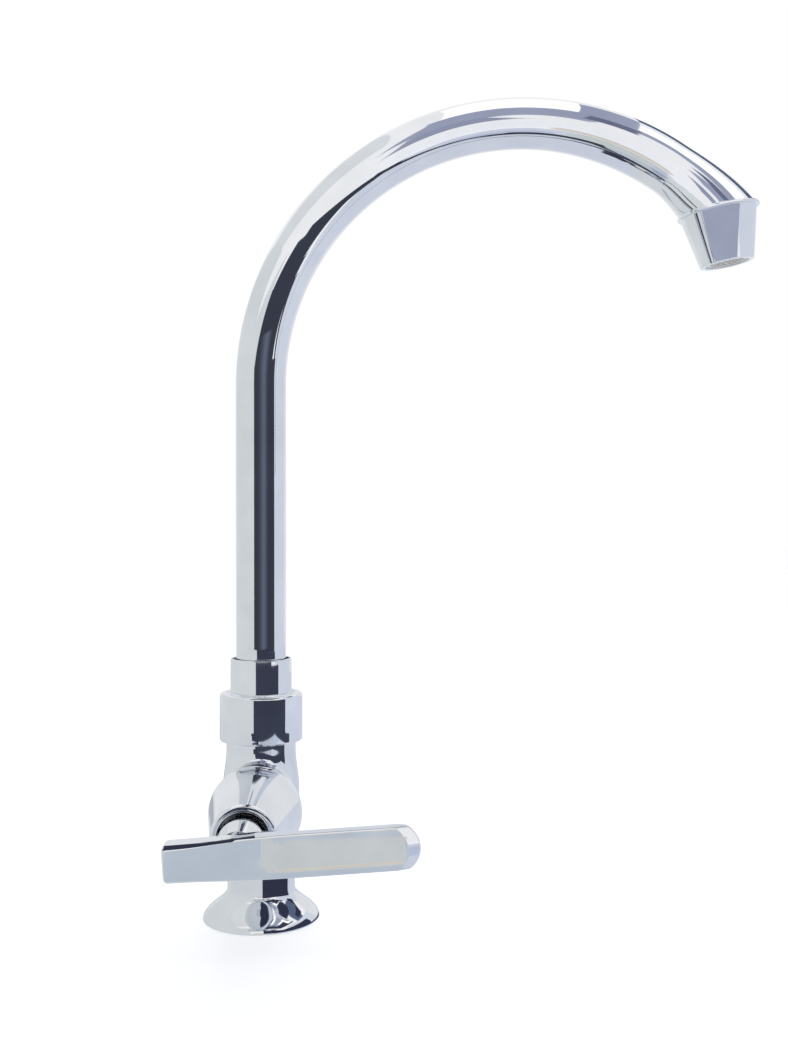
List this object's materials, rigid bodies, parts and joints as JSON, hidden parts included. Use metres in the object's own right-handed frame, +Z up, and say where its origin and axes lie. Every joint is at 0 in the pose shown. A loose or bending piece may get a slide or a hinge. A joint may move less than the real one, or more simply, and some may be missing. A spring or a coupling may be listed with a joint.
{
  "type": "deck-mount kitchen faucet",
  "caption": "Deck-mount cold tap with a swivelling gooseneck spout, a tilted conical aerator and a quarter-turn side lever.",
  "frame": {"origin": "centre of the bell foot, on the deck's upper face", "axes": "+Z up along the body and the swivel's axis, +X towards the outlet, -Y along the valve towards the user"},
  "size_m": [0.2145, 0.1044, 0.3717],
  "materials": {
    "body": "polished",
    "shank": "satin",
    "base_gasket": "matte",
    "deck_seal": "matte",
    "deck_washer": "satin",
    "lock_nut": "satin",
    "swivel_nut": "polished",
    "slip_washer": "matte",
    "split_ring": "satin",
    "collar": "polished",
    "spout_ferrule": "satin",
    "spout_seals": "satin",
    "spout_tube": "polished",
    "outlet_nozzle": "polished",
    "aerator_washer": "matte",
    "aerator_body": "matte",
    "aerator_core": "matte",
    "aerator_screen": "satin",
    "headwork": "satin",
    "headwork_seal": "satin",
    "seat_washer": "matte",
    "fixed_disc": "satin",
    "moving_disc": "satin",
    "stem": "satin",
    "stem_seal": "satin",
    "stem_clip": "satin",
    "stop_collar": "satin",
    "lever": "polished",
    "lever_screw": "satin"
  },
  "bodies": {
    "tap_body": {"body": "body", "shank": "shank", "base_gasket": "base_gasket", "deck_seal": "deck_seal", "deck_washer": "deck_washer", "lock_nut": "lock_nut", "swivel_nut": "swivel_nut", "slip_washer": "slip_washer", "headwork": "headwork", "headwork_seal": "headwork_seal", "seat_washer": "seat_washer", "fixed_disc": "fixed_disc"},
    "spout": {"spout_tube": "spout_tube", "spout_ferrule": "spout_ferrule", "spout_seals": "spout_seals", "split_ring": "split_ring", "collar": "collar", "outlet_nozzle": "outlet_nozzle", "aerator_washer": "aerator_washer", "aerator_body": "aerator_body", "aerator_core": "aerator_core", "aerator_screen": "aerator_screen"},
    "handle": {"lever": "lever", "lever_screw": "lever_screw", "stem": "stem", "stem_seal": "stem_seal", "stem_clip": "stem_clip", "stop_collar": "stop_collar", "moving_disc": "moving_disc"}
  },
  "joints": [
    {"name": "spout_swivel", "type": "hinge", "parent": "tap_body", "child": "spout", "pos_m": [0, 0, 0.08], "axis": [0, 0, 1], "continuous": true},
    {"name": "lever_turn", "type": "hinge", "parent": "tap_body", "child": "handle", "pos_m": [0, -0.05, 0.045], "axis": [0, -1, 0], "range_deg": [0, 90]}
  ]
}
